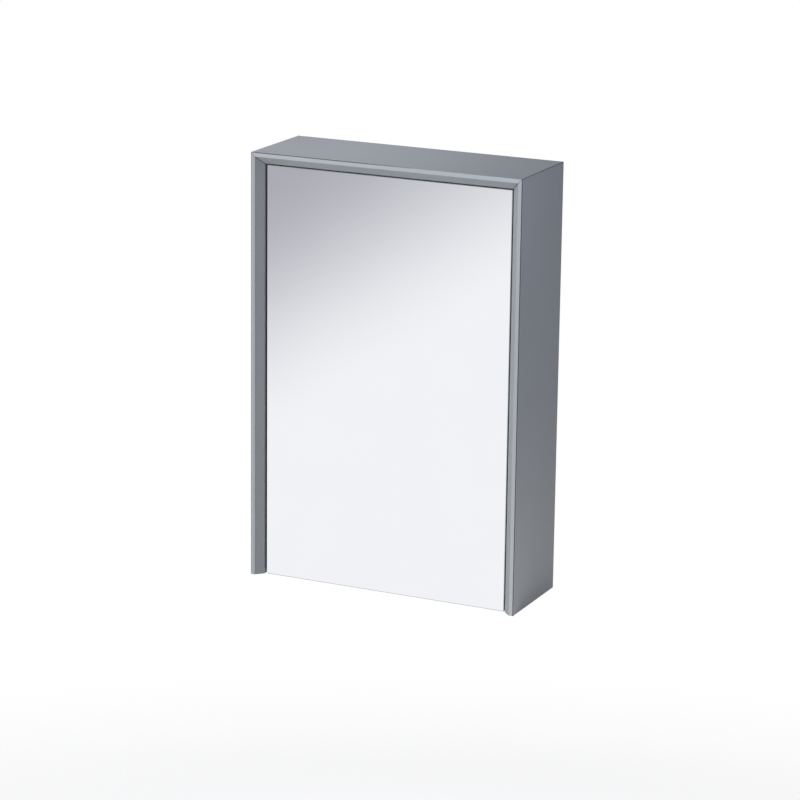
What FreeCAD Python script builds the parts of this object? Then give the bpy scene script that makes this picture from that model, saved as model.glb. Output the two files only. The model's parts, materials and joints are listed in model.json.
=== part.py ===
import FreeCAD, Part
import os
import re
import Sketcher

# A wall-hung mirror cabinet: a mitred box of lacquered board with one mirror door set inside its
# bevelled front edge. The door turns on two pivot pins near its left edge.
# Millimetres. X runs to the right, Y into the wall and Z up. The origin lies on the wall, midway
# between the two screw holes of the rail that carries the cabinet.

SIZES = {
    # box
    "cabinet_width": 400,
    "cabinet_height": 600,
    "cabinet_depth": 140,
    "board": 16,
    "front_strip": 6,
    "arris": 0.6,
    "rail_below_top": 60,
    "finger_height": 20,
    "back_recess": 15,
    "back_thickness": 4,
    "groove_depth": 6,
    "groove_clearance": 0.2,
    "fit_clearance": 0.05,
    # joints of the box
    "spline_width": 12,
    "spline_thickness": 3,
    "spline_front": 28,
    "spline_length": 84,
    "dowel_radius": 4,
    "dowel_in_side": 12,
    "dowel_in_bottom": 18,
    "dowel_from_edge": 12,
    "cam_radius": 7.5,
    "cam_height": 12.5,
    "cam_reach": 24,
    "cam_bolt_radius": 3,
    "cam_thread_radius": 2.5,
    "cam_thread_length": 11,
    "back_screw_radius": 1.75,
    "back_screw_head": 3.4,
    "back_screw_head_height": 1.8,
    "back_screw_length": 18,
    "back_screw_spacing": 140,
    # door
    "door_side_gap": 2.5,
    "door_top_gap": 2,
    "door_recess": 12,
    "door_board": 16,
    "glass_thickness": 4,
    "glass_arris": 0.8,
    "tape_thickness": 1,
    "tape_width": 25,
    "tape_margin": 12,
    # pivots
    "pivot_inset": 16,
    "pin_radius": 2.5,
    "pin_reach": 10,
    "running_clearance": 0.05,
    "bush_wall": 0.95,
    "bush_length": 11,
    "bush_cover": 0.45,
    "flange_rim": 1.2,
    "flange_thickness": 0.55,
    "eye_wall": 1.9,
    "bracket_thickness": 2.5,
    "tongue_inset": 0.5,
    "tongue_width": 8,
    "notch_clearance": 1,
    "bracket_length": 38,
    "bracket_leg": 17,
    "bracket_screw_radius": 1.9,
    "bracket_screw_head": 3.6,
    "bracket_screw_head_height": 2.2,
    "bracket_screw_length": 15,
    "bracket_screw_margin": 9,
    "swing_clearance": 0.9,
    # catch and bumpers
    "catch_from_side": 30,
    "magnet_radius": 3.5,
    "magnet_gap": 0.3,
    "magnet_bite": 12,
    "sleeve_wall": 1.45,
    "sleeve_step": 0.5,
    "sleeve_bite": 14,
    "collar_radius": 6.5,
    "collar_thickness": 1.5,
    "strike_radius": 9,
    "strike_thickness": 2,
    "strike_screw_radius": 1.5,
    "strike_screw_head": 2.8,
    "strike_screw_head_height": 1.4,
    "strike_screw_length": 13,
    "bumper_radius": 5,
    "bumper_nose": 3.8,
    "bumper_gap": 0.2,
    "bumper_from_side": 70,
    # shelves
    "shelf_thickness": 5,
    "shelf_arris": 0.5,
    "shelf_side_gap": 1.2,
    "shelf_back_gap": 1,
    "shelf_setback": 8,
    "lower_shelf_height": 182,
    "upper_shelf_height": 366,
    "shelf_pin_radius": 2.5,
    "shelf_pin_bite": 9,
    "shelf_pin_reach": 9,
    "shelf_pin_head": 3.2,
    "shelf_pin_from_edge": 14,
    "shelf_hole_pitch": 32,
    "pad_wall": 0.9,
    # hanging
    "rail_thickness": 2,
    "rail_standoff": 5,
    "rail_drop": 12,
    "rail_step": 10,
    "rail_lip": 12,
    "rail_end_gap": 2,
    "rail_hole_radius": 3.25,
    "rail_hole_spacing": 240,
    "hook_thickness": 2,
    "hook_width": 10,
    "hook_clearance": 0.3,
    "hook_grip": 9,
    "hook_slot_depth": 36,
    "hook_travel": 1,
    "housing_width": 14,
    "housing_height": 58,
    "housing_below_rail": 6,
    "housing_front_gap": 0.4,
    "housing_wall_gap": 1,
    "housing_side_wall": 2,
    "adjuster_radius": 3,
    "adjuster_length": 4,
    "adjuster_upper": 10,
    "adjuster_lower": 26,
    "access_radius": 4,
    "fixing_radius": 2,
    "fixing_head": 3.4,
    "fixing_head_height": 3,
    "fixing_seat": 5,
    "fixing_bite": 12,
    "fixing_upper": 42,
    "fixing_lower": 52,
}

# Places that several pieces share, written with the names of the sizes
HALF = "(cabinet_width / 2)"
INNER = "(cabinet_width / 2 - board)"
TOP = "rail_below_top"
BOTTOM = "(rail_below_top - cabinet_height)"
CEILING = "(rail_below_top - board)"
UNDERSIDE = f"({BOTTOM} + finger_height)"
FLOOR = f"({UNDERSIDE} + board)"
MID_BOARD = f"({UNDERSIDE} + board / 2)"
FRONT = "(-cabinet_depth)"
BEVEL = "(board - front_strip)"
BACK_REAR = "(-back_recess)"
BACK_FRONT = "(-back_recess - back_thickness)"

GLASS_FRONT = "(door_recess - cabinet_depth)"
GLASS_BACK = f"({GLASS_FRONT} + glass_thickness)"
DOOR_FRONT = f"({GLASS_BACK} + tape_thickness)"
DOOR_BACK = f"({DOOR_FRONT} + door_board)"
DOOR_LEFT = f"(door_side_gap - {INNER})"
DOOR_RIGHT = f"({INNER} - door_side_gap)"
DOOR_TOP = f"({CEILING} - door_top_gap)"

BUSH_RADIUS = "(pin_radius + running_clearance + bush_wall)"
FLANGE_RADIUS = f"({BUSH_RADIUS} + flange_rim)"
PIVOT_SETBACK = f"({BUSH_RADIUS} + fit_clearance + bush_cover)"
PIVOT_X = f"({DOOR_LEFT} + pivot_inset)"
PIVOT_Y = f"({DOOR_FRONT} + {PIVOT_SETBACK})"
BEHIND_PIVOT = f"(door_board - {PIVOT_SETBACK})"
SWING_BACK = f"(sqrt(pivot_inset * pivot_inset + {BEHIND_PIVOT} * {BEHIND_PIVOT}))"
PANEL_FRONT = f"({PIVOT_Y} + {SWING_BACK} + swing_clearance)"
NOTCH = "(tongue_inset + bracket_thickness + running_clearance + flange_thickness)"

SHELF_FRONT = f"({PANEL_FRONT} + shelf_setback)"
SHELF_BACK = f"({BACK_FRONT} - shelf_back_gap)"
PAD_RADIUS = "(shelf_pin_head + pad_wall)"

MAGNET_FRONT = f"({DOOR_BACK} + strike_thickness + magnet_gap)"
SLEEVE_RADIUS = "(magnet_radius + fit_clearance + sleeve_wall)"
CATCH_X = f"({INNER} - catch_from_side)"

LIP_FRONT = "(-rail_standoff - rail_thickness)"
LIP_TOP = "(rail_step + rail_lip)"
HOOK_BACK = f"({LIP_FRONT} - hook_clearance)"
HOOK_FRONT = f"({HOOK_BACK} - hook_thickness)"
HOUSING_TOP = "(-rail_drop - housing_below_rail)"
HOUSING_BOTTOM = f"({HOUSING_TOP} - housing_height)"
HOUSING_FRONT = f"({BACK_REAR} + housing_front_gap)"
HOUSING_BACK = "(-housing_wall_gap)"
HOUSING_X = f"({INNER} - housing_width / 2)"

CAM_Y = f"(({PANEL_FRONT} + {BACK_FRONT}) / 2)"
DOWEL_PLACES = {
    "front": f"({PANEL_FRONT} + dowel_from_edge)",
    "rear": f"({BACK_FRONT} - dowel_from_edge)",
}
SHELF_UNDERSIDES = {
    "lower": f"({FLOOR} + lower_shelf_height)",
    "upper": f"({FLOOR} + upper_shelf_height)",
}
SHELF_PIN_PLACES = {
    "front": f"({SHELF_FRONT} + shelf_pin_from_edge)",
    "rear": f"({SHELF_BACK} - shelf_pin_from_edge)",
}
BRACKET_LEVELS = {
    "lower": (f"({BOTTOM} + tongue_inset)", 1),
    "upper": (f"({DOOR_TOP} - tongue_inset)", -1),
}
BRACKET_SCREW_PLACES = {
    "front": f"({PANEL_FRONT} + bracket_screw_margin)",
    "rear": f"({PANEL_FRONT} + bracket_length - bracket_screw_margin)",
}
ADJUSTER_PLACES = {
    "upper": f"({HOUSING_TOP} - adjuster_upper)",
    "lower": f"({HOUSING_TOP} - adjuster_lower)",
}
FIXING_PLACES = {
    "upper": f"({HOUSING_TOP} - fixing_upper)",
    "lower": f"({HOUSING_TOP} - fixing_lower)",
}
FIXING_Y = f"(({HOUSING_FRONT} + {HOUSING_BACK}) / 2)"

MITRE_ANGLE = 45
HALF_DIAGONAL = "(sqrt(0.5) / 2)"
BACK_SCREW_STEPS = (-1, 0, 1)
SHELF_HOLE_STEPS = (-1, 0, 1)
TAPE_STRIPS = 4
SIDES = {"left": -1, "right": 1}
TURNS = {
    "+X": FreeCAD.Rotation(FreeCAD.Vector(0, 1, 0), 90),
    "-X": FreeCAD.Rotation(FreeCAD.Vector(0, 1, 0), -90),
    "+Y": FreeCAD.Rotation(FreeCAD.Vector(1, 0, 0), -90),
    "-Y": FreeCAD.Rotation(FreeCAD.Vector(1, 0, 0), 90),
    "+Z": FreeCAD.Rotation(),
    "-Z": FreeCAD.Rotation(FreeCAD.Vector(1, 0, 0), 180),
}

doc = FreeCAD.newDocument("mirror_cabinet")
sheet = doc.addObject("Spreadsheet::Sheet", "sizes")
for row, (size_name, size_value) in enumerate(SIZES.items(), start=1):
    sheet.set(f"A{row}", size_name)
    sheet.set(f"B{row}", str(size_value))
    sheet.setAlias(f"B{row}", size_name)
doc.recompute()

SIZE_WORD = re.compile(r"\b(" + "|".join(SIZES) + r")\b")
nodes = []
cut_pairs = []


def cells(text):
    """The expression with each size's name turned into its cell of the sheet."""
    return SIZE_WORD.sub(r"sizes.\1", text)


def value(text):
    """What the expression comes to with the sheet as it stands."""
    return float(sheet.evalExpression(cells(text)))


def bind(thing, path, text):
    """Tie one property of an object to the sheet."""
    thing.setExpression(path, cells(text))


def place(solid, point, turn=FreeCAD.Rotation()):
    """Turn a solid, and tie its position to the sheet."""
    solid.Placement = FreeCAD.Placement(FreeCAD.Vector(), turn)
    for letter, text in zip("xyz", point):
        bind(solid, f"Placement.Base.{letter}", text)


def node(solid, name):
    """Name a finished piece."""
    solid.Label = name
    nodes.append(solid)
    return solid


def block(name, x_span, y_span, z_span):
    """A box between two places along each axis."""
    solid = doc.addObject("Part::Box", name)
    spans = (x_span, y_span, z_span)
    for side, (low, high) in zip(("Length", "Width", "Height"), spans):
        bind(solid, side, f"({high}) - ({low})")
    place(solid, [low for low, high in spans])
    return solid


def rod(name, start, along, radius, length):
    """A round bar from a point, along one of the axes."""
    solid = doc.addObject("Part::Cylinder", name)
    bind(solid, "Radius", radius)
    bind(solid, "Height", length)
    place(solid, start, TURNS[along])
    return solid


def taper(name, start, along, first_radius, last_radius, length):
    """A cone's stump from a point, along one of the axes."""
    solid = doc.addObject("Part::Cone", name)
    bind(solid, "Radius1", first_radius)
    bind(solid, "Radius2", last_radius)
    bind(solid, "Height", length)
    place(solid, start, TURNS[along])
    return solid


def outward(side, near, far):
    """The span between two distances from the middle, on the left or the right."""
    if side > 0:
        return near, far
    return f"-({far})", f"-({near})"


def away(side):
    """The direction from the middle towards one side."""
    return "+X" if side > 0 else "-X"


def group(name, solids):
    """Several separate solids kept as one piece."""
    gathered = doc.addObject("Part::Compound", name)
    gathered.Links = solids
    return gathered


def fuse(name, solids):
    """One solid from several that meet."""
    joined = doc.addObject("Part::MultiFuse", name)
    joined.Shapes = solids
    joined.Refine = True
    return joined


def cut(name, base, tools):
    """A piece with all the tools taken out of it."""
    result = doc.addObject("Part::Cut", name)
    result.Base = base
    result.Tool = tools[0] if len(tools) == 1 else group(f"{name}_tools", tools)
    cut_pairs.append((base, result))
    return result


def new_body(name):
    return doc.addObject("PartDesign::Body", name)


def outline(body, role, corners, lift="0"):
    """A closed sketch on one of the body's own planes, its corners tied to the sheet."""
    sketch = body.newObject("Sketcher::SketchObject", f"{body.Name}_sketch")
    plane = next(entry for entry in body.Origin.OriginFeatures if entry.Role == role)
    sketch.AttachmentSupport = [(plane, "")]
    sketch.MapMode = "FlatFace"
    bind(sketch, "AttachmentOffset.Base.z", lift)
    points = [FreeCAD.Vector(value(across), value(up), 0) for across, up in corners]
    following = points[1:] + points[:1]
    for start, end in zip(points, following):
        sketch.addGeometry(Part.LineSegment(start, end), False)
    for line in range(len(corners)):
        next_line = (line + 1) % len(corners)
        sketch.addConstraint(Sketcher.Constraint("Coincident", line, 2, next_line, 1))
    for line, corner in enumerate(corners):
        for kind, text in zip(("DistanceX", "DistanceY"), corner):
            index = sketch.addConstraint(Sketcher.Constraint(kind, line, 1, value(text)))
            bind(sketch, f"Constraints[{index}]", text)
    return sketch


def pad(body, sketch, length, both_ways=False):
    """Raise a sketch into a solid."""
    feature = body.newObject("PartDesign::Pad", f"{body.Name}_pad")
    feature.Profile = sketch
    feature.SideType = "Symmetric" if both_ways else "One side"
    bind(feature, "Length", length)
    return feature


def pocket_through(body, sketch):
    """Cut a sketch right through the body, both ways."""
    before = body.Tip
    feature = body.newObject("PartDesign::Pocket", f"{body.Name}_pocket")
    feature.Profile = sketch
    feature.Type = "ThroughAll"
    feature.SideType = "Symmetric"
    cut_pairs.append((before, feature))
    return feature


def chamfer(body, base, edge_names, size):
    """Break the named edges of a body."""
    feature = body.newObject("PartDesign::Chamfer", f"{body.Name}_chamfer")
    feature.Base = (base, edge_names)
    bind(feature, "Size", size)
    return feature


def spline_bar(name, side, clearance):
    """The loose tongue across one top mitre, or with a clearance the slot for it."""
    bar = doc.addObject("Part::Box", name)
    width = f"(spline_width + 2 * {clearance})"
    thickness = f"(spline_thickness + 2 * {clearance})"
    bind(bar, "Length", width)
    bind(bar, "Width", f"spline_length + 2 * {clearance}")
    bind(bar, "Height", thickness)
    turn = FreeCAD.Rotation(FreeCAD.Vector(0, 1, 0), -90 - side * MITRE_ANGLE)
    across = f"({width} + {side} * {thickness})"
    down = f"({width} - {side} * {thickness})"
    corner = (
        f"{side} * ({HALF} - board / 2 + {across} * {HALF_DIAGONAL})",
        f"{FRONT} + spline_front - {clearance}",
        f"{TOP} - board / 2 - {down} * {HALF_DIAGONAL}",
    )
    place(bar, corner, turn)
    return bar


def dowel(name, side, y_place, clearance):
    start = (f"{side} * ({INNER} - dowel_in_bottom - {clearance})", y_place, MID_BOARD)
    length = f"dowel_in_bottom + dowel_in_side + 2 * {clearance}"
    return rod(name, start, away(side), f"dowel_radius + {clearance}", length)


def cam_thread(name, side, clearance):
    start = (f"{side} * {INNER}", CAM_Y, MID_BOARD)
    length = f"cam_thread_length + {clearance}"
    return rod(name, start, away(side), f"cam_thread_radius + {clearance}", length)


def cam_shank(name, side, clearance):
    start = (f"{side} * ({INNER} - cam_reach)", CAM_Y, MID_BOARD)
    return rod(name, start, away(side), f"cam_bolt_radius + {clearance}", "cam_reach")


def cam_disc(name, side, clearance):
    start = (f"{side} * ({INNER} - cam_reach)", CAM_Y, UNDERSIDE)
    return rod(name, start, "+Z", f"cam_radius + {clearance}", f"cam_height + {clearance}")


def upright(way, low, high):
    """The span of heights from a bracket's outer face towards the door's middle."""
    if way > 0:
        return low, high
    return high, low


def upward(way):
    return "+Z" if way > 0 else "-Z"


def bracket_screw_start(level, way, y_place, x_place):
    """The middle of the leg's free height, where its screws go in."""
    return (x_place, y_place, f"{level} + {way} * (bracket_thickness + bracket_leg) / 2")


def side_holes(word, side):
    """Everything that is bored or grooved into one side panel."""
    name = f"side_{word}"
    groove_x = outward(side, INNER, f"{INNER} + groove_depth")
    groove_y = (f"{BACK_FRONT} - groove_clearance", f"{BACK_REAR} + groove_clearance")
    tools = [block(f"{name}_groove", groove_x, groove_y, (BOTTOM, TOP))]
    tools.append(spline_bar(f"{name}_spline_slot", side, "fit_clearance"))
    tools.append(cam_thread(f"{name}_cam_hole", side, "fit_clearance"))
    for end, y_place in DOWEL_PLACES.items():
        tools.append(dowel(f"{name}_dowel_hole_{end}", side, y_place, "fit_clearance"))
    for shelf, underside in SHELF_UNDERSIDES.items():
        for end, y_place in SHELF_PIN_PLACES.items():
            for step in SHELF_HOLE_STEPS:
                z_place = f"{underside} - {PAD_RADIUS} + {step} * shelf_hole_pitch"
                start = (f"{side} * {INNER}", y_place, z_place)
                hole_name = f"{name}_pin_hole_{shelf}_{end}_{step + 1}"
                tools.append(rod(hole_name, start, away(side), "shelf_pin_radius + fit_clearance",
                                 "shelf_pin_bite + fit_clearance"))
    for end, z_place in FIXING_PLACES.items():
        start = (f"{side} * {INNER}", FIXING_Y, z_place)
        tools.append(rod(f"{name}_fixing_hole_{end}", start, away(side), "fixing_radius + fit_clearance",
                         "fixing_bite + fit_clearance"))
    return tools


def make_side_panel(word, side):
    body = new_body(f"side_panel_{word}_blank")
    profile = [
        (f"{side} * {HALF}", "0"),
        (f"{side} * {INNER}", "0"),
        (f"{side} * {INNER}", f"{FRONT} + {BEVEL}"),
        (f"{side} * ({HALF} - front_strip)", FRONT),
        (f"{side} * ({HALF} - arris)", FRONT),
        (f"{side} * {HALF}", f"{FRONT} + arris"),
    ]
    pad(body, outline(body, "XY_Plane", profile, BOTTOM), "cabinet_height")
    above_mitre = [
        (f"{side} * ({HALF} + board)", f"{TOP} - arris"),
        (f"{side} * {HALF}", f"{TOP} - arris"),
        (f"{side} * ({HALF} - arris / 2)", f"{TOP} - arris / 2"),
        (f"{side} * ({INNER} - board)", f"{TOP} - 2 * board"),
        (f"{side} * ({INNER} - board)", f"{TOP} + board"),
        (f"{side} * ({HALF} + board)", f"{TOP} + board"),
    ]
    pocket_through(body, outline(body, "XZ_Plane", above_mitre))
    tools = side_holes(word, side)
    if word == "left":
        for level_name, (level, way) in BRACKET_LEVELS.items():
            for end, y_place in BRACKET_SCREW_PLACES.items():
                start = bracket_screw_start(level, way, y_place, f"-{INNER}")
                depth = "bracket_screw_length - bracket_thickness + fit_clearance"
                tools.append(rod(f"bracket_pilot_{level_name}_{end}", start, "-X",
                                 "bracket_screw_radius + fit_clearance", depth))
    node(cut(f"side_panel_{word}", body, tools), f"side_panel_{word}")


def make_top_panel():
    body = new_body("top_panel_blank")
    profile = [
        ("0", TOP),
        ("0", CEILING),
        (f"{FRONT} + {BEVEL}", CEILING),
        (FRONT, f"{TOP} - front_strip"),
        (FRONT, f"{TOP} - arris"),
        (f"{FRONT} + arris", TOP),
    ]
    pad(body, outline(body, "YZ_Plane", profile), "cabinet_width", both_ways=True)
    for side in SIDES.values():
        below_mitre = [
            (f"{side} * ({HALF} - arris)", f"{TOP} + board"),
            (f"{side} * ({HALF} - arris)", TOP),
            (f"{side} * ({HALF} - arris / 2)", f"{TOP} - arris / 2"),
            (f"{side} * ({INNER} - board)", f"{TOP} - 2 * board"),
            (f"{side} * ({HALF} + board)", f"{TOP} - 2 * board"),
            (f"{side} * ({HALF} + board)", f"{TOP} + board"),
        ]
        pocket_through(body, outline(body, "XZ_Plane", below_mitre))
    groove_x = (f"-({INNER} + groove_depth)", f"{INNER} + groove_depth")
    groove_y = (f"{BACK_FRONT} - groove_clearance", f"{BACK_REAR} + groove_clearance")
    tools = [block("top_groove", groove_x, groove_y, (CEILING, f"{CEILING} + groove_depth"))]
    for word, side in SIDES.items():
        tools.append(spline_bar(f"top_spline_slot_{word}", side, "fit_clearance"))
    node(cut("top_panel", body, tools), "top_panel")


def make_splines():
    bars = [spline_bar(f"mitre_spline_{word}", side, "0") for word, side in SIDES.items()]
    node(group("mitre_splines", bars), "mitre_splines")


def make_bottom_panel():
    blank = block("bottom_panel_blank", (f"-{INNER}", INNER), (PANEL_FRONT, BACK_FRONT), (UNDERSIDE, FLOOR))
    tools = []
    for word, side in SIDES.items():
        bore = cam_disc(f"cam_bore_{word}", side, "fit_clearance")
        channel = cam_shank(f"cam_channel_{word}", side, "fit_clearance")
        tools.append(fuse(f"cam_recess_{word}", [bore, channel]))
        for end, y_place in DOWEL_PLACES.items():
            tools.append(dowel(f"bottom_dowel_hole_{word}_{end}", side, y_place, "fit_clearance"))
    catch_start = (CATCH_X, PANEL_FRONT, MID_BOARD)
    tools.append(rod("catch_bore", catch_start, "+Y", f"{SLEEVE_RADIUS} + fit_clearance",
                     "sleeve_bite + fit_clearance"))
    for step in BACK_SCREW_STEPS:
        start = (f"{step} * back_screw_spacing", BACK_FRONT, MID_BOARD)
        depth = "back_screw_length - back_thickness + fit_clearance"
        tools.append(rod(f"back_pilot_{step + 1}", start, "-Y", "back_screw_radius + fit_clearance", depth))
    node(cut("bottom_panel", blank, tools), "bottom_panel")


def make_bottom_joints():
    dowels = []
    bolts = []
    locks = []
    for word, side in SIDES.items():
        for end, y_place in DOWEL_PLACES.items():
            dowels.append(dowel(f"dowel_{word}_{end}", side, y_place, "0"))
        bolts.append(fuse(f"cam_bolt_{word}", [cam_shank(f"cam_shank_{word}", side, "0"),
                                               cam_thread(f"cam_thread_{word}", side, "0")]))
        disc = cam_disc(f"cam_disc_{word}", side, "0")
        mouth = cam_shank(f"cam_mouth_{word}", side, "fit_clearance")
        locks.append(cut(f"cam_lock_{word}", disc, [mouth]))
    node(group("bottom_dowels", dowels), "bottom_dowels")
    node(group("cam_bolts", bolts), "cam_bolts")
    node(group("cam_locks", locks), "cam_locks")


def make_back_panel():
    reach = f"({INNER} + groove_depth - groove_clearance)"
    blank = block("back_panel_blank", (f"-{reach}", reach), (BACK_FRONT, BACK_REAR),
                  (UNDERSIDE, f"{CEILING} + groove_depth - groove_clearance"))
    tools = []
    for word, side in SIDES.items():
        for end, z_place in ADJUSTER_PLACES.items():
            start = (f"{side} * {HOUSING_X}", BACK_FRONT, z_place)
            tools.append(rod(f"access_hole_{word}_{end}", start, "+Y", "access_radius", "back_thickness"))
    screws = []
    for step in BACK_SCREW_STEPS:
        x_place = f"{step} * back_screw_spacing"
        screws.append(make_back_screw(f"back_screw_{step + 1}", x_place, "0"))
        tools.append(make_back_screw(f"back_screw_hole_{step + 1}", x_place, "fit_clearance"))
    node(cut("back_panel", blank, tools), "back_panel")
    node(group("back_panel_screws", screws), "back_panel_screws")


def make_back_screw(name, x_place, clearance):
    """A countersunk screw through the back panel into the bottom panel, or the hole for it."""
    start = (x_place, BACK_REAR, MID_BOARD)
    head = taper(f"{name}_head", start, "-Y", f"back_screw_head + {clearance}",
                 f"back_screw_radius + {clearance}", "back_screw_head_height")
    shank = rod(f"{name}_shank", start, "-Y", f"back_screw_radius + {clearance}", "back_screw_length")
    return fuse(name, [head, shank])


def make_shelf(word):
    underside = SHELF_UNDERSIDES[word]
    body = new_body(f"glass_shelf_{word}")
    reach = f"({INNER} - shelf_side_gap)"
    corners = [
        (f"-{reach}", SHELF_FRONT),
        (reach, SHELF_FRONT),
        (reach, SHELF_BACK),
        (f"-{reach}", SHELF_BACK),
    ]
    slab = pad(body, outline(body, "XY_Plane", corners, underside), "shelf_thickness")
    doc.recompute()
    edge_names = [f"Edge{index + 1}" for index in range(len(slab.Shape.Edges))]
    chamfer(body, slab, edge_names, "shelf_arris")
    node(body, f"glass_shelf_{word}")


def make_shelf_supports():
    pins = []
    pads = []
    for shelf, underside in SHELF_UNDERSIDES.items():
        for end, y_place in SHELF_PIN_PLACES.items():
            for word, side in SIDES.items():
                name = f"{shelf}_{end}_{word}"
                start = (f"{side} * {INNER}", y_place, f"{underside} - {PAD_RADIUS}")
                inward = away(-side)
                shank = rod(f"pin_shank_{name}", start, away(side), "shelf_pin_radius", "shelf_pin_bite")
                head = rod(f"pin_head_{name}", start, inward, "shelf_pin_head", "shelf_pin_reach")
                pins.append(fuse(f"shelf_pin_{name}", [shank, head]))
                sleeve = rod(f"pad_sleeve_{name}", start, inward, PAD_RADIUS, "shelf_pin_reach")
                bore = rod(f"pad_bore_{name}", start, inward, "shelf_pin_head", "shelf_pin_reach")
                pads.append(cut(f"shelf_pad_{name}", sleeve, [bore]))
    node(group("shelf_pins", pins), "shelf_pins")
    node(group("shelf_pads", pads), "shelf_pads")


def make_wall_rail():
    body = new_body("wall_rail_blank")
    profile = [
        ("0", "-rail_drop"),
        ("0", "rail_step"),
        ("-rail_standoff", "rail_step"),
        ("-rail_standoff", LIP_TOP),
        (LIP_FRONT, LIP_TOP),
        (LIP_FRONT, "rail_step - rail_thickness"),
        ("-rail_thickness", "rail_step - rail_thickness"),
        ("-rail_thickness", "-rail_drop"),
    ]
    pad(body, outline(body, "YZ_Plane", profile), f"2 * ({INNER} - rail_end_gap)", both_ways=True)
    holes = []
    for word, side in SIDES.items():
        start = (f"{side} * rail_hole_spacing / 2", "-rail_thickness", "0")
        holes.append(rod(f"rail_hole_{word}", start, "+Y", "rail_hole_radius", "rail_thickness"))
    node(cut("wall_rail", body, holes), "wall_rail")


def hanger_fixing(name, side, z_place, head_length, clearance):
    """A screw that holds a hanger housing to its side panel, or the stepped hole for it."""
    seat = (f"{side} * ({INNER} - fixing_seat)", FIXING_Y, z_place)
    head = rod(f"{name}_head", seat, away(-side), f"fixing_head + {clearance}", head_length)
    shank = rod(f"{name}_shank", seat, away(side), f"fixing_radius + {clearance}",
                "fixing_seat + fixing_bite")
    return fuse(name, [head, shank])


def hanger_adjuster(name, side, z_place, clearance):
    start = (f"{side} * {HOUSING_X}", HOUSING_FRONT, z_place)
    return rod(name, start, "+Y", f"adjuster_radius + {clearance}", f"adjuster_length + {clearance}")


def make_hangers():
    adjusters = []
    fixings = []
    for word, side in SIDES.items():
        shell_x = outward(side, f"{INNER} - housing_width", INNER)
        shell = block(f"housing_shell_{word}", shell_x, (HOUSING_FRONT, HOUSING_BACK),
                      (HOUSING_BOTTOM, HOUSING_TOP))
        slot_far = f"({INNER} - housing_side_wall)"
        slot_x = outward(side, f"{slot_far} - hook_width - 2 * hook_clearance", slot_far)
        slot_y = (f"{HOOK_FRONT} - hook_clearance", f"{HOOK_BACK} + hook_clearance")
        slot_z = (f"{HOUSING_TOP} - hook_slot_depth", HOUSING_TOP)
        tools = [block(f"housing_slot_{word}", slot_x, slot_y, slot_z)]
        for end, z_place in ADJUSTER_PLACES.items():
            adjusters.append(hanger_adjuster(f"adjuster_{word}_{end}", side, z_place, "0"))
            tools.append(hanger_adjuster(f"adjuster_hole_{word}_{end}", side, z_place, "fit_clearance"))
        for end, z_place in FIXING_PLACES.items():
            fixings.append(hanger_fixing(f"fixing_{word}_{end}", side, z_place, "fixing_head_height", "0"))
            tools.append(hanger_fixing(f"fixing_hole_{word}_{end}", side, z_place,
                                       "housing_width - fixing_seat", "fit_clearance"))
        node(cut(f"hanger_housing_{word}", shell, tools), f"hanger_housing_{word}")
        make_hook(word, side, f"({slot_far} - hook_clearance - hook_width / 2)")
    node(group("hanger_adjust_screws", adjusters), "hanger_adjust_screws")
    node(group("hanger_fixing_screws", fixings), "hanger_fixing_screws")


def make_hook(word, side, middle):
    body = new_body(f"hanger_hook_{word}")
    tip_front = "(hook_clearance - rail_standoff)"
    tip_back = f"({tip_front} + hook_thickness)"
    foot = f"{HOUSING_TOP} - hook_slot_depth + hook_travel"
    profile = [
        (HOOK_FRONT, foot),
        (HOOK_FRONT, f"{LIP_TOP} + hook_thickness"),
        (tip_back, f"{LIP_TOP} + hook_thickness"),
        (tip_back, f"{LIP_TOP} - hook_grip"),
        (tip_front, f"{LIP_TOP} - hook_grip"),
        (tip_front, LIP_TOP),
        (HOOK_BACK, LIP_TOP),
        (HOOK_BACK, foot),
    ]
    sketch = outline(body, "YZ_Plane", profile, f"{side} * {middle}")
    pad(body, sketch, "hook_width", both_ways=True)
    node(body, f"hanger_hook_{word}")


def make_pivot_bracket(word):
    """A flat tongue under or over the door's edge, with a leg that is screwed to the left side."""
    level, way = BRACKET_LEVELS[word]
    plate_z = upright(way, level, f"{level} + {way} * bracket_thickness")
    leg_z = upright(way, level, f"{level} + {way} * bracket_leg")
    rear = f"{PANEL_FRONT} + bracket_length"
    right = f"{PIVOT_X} + tongue_width"
    eye = rod(f"eye_{word}", (PIVOT_X, PIVOT_Y, level), upward(way), "pin_radius + eye_wall",
              "bracket_thickness")
    tongue = block(f"tongue_{word}", (PIVOT_X, right), (PIVOT_Y, rear), plate_z)
    foot = block(f"foot_{word}", (f"-{INNER}", right), (PANEL_FRONT, rear), plate_z)
    leg = block(f"leg_{word}", (f"-{INNER}", f"bracket_thickness - {INNER}"), (PANEL_FRONT, rear), leg_z)
    plate = fuse(f"bracket_plate_{word}", [eye, tongue, foot, leg])
    tools = [rod(f"eye_hole_{word}", (PIVOT_X, PIVOT_Y, level), upward(way),
                 "pin_radius + fit_clearance", "bracket_thickness")]
    for end, y_place in BRACKET_SCREW_PLACES.items():
        start = bracket_screw_start(level, way, y_place, f"bracket_thickness - {INNER}")
        tools.append(rod(f"bracket_hole_{word}_{end}", start, "-X",
                         "bracket_screw_radius + fit_clearance", "bracket_thickness"))
    node(cut(f"pivot_bracket_{word}", plate, tools), f"pivot_bracket_{word}")


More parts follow.
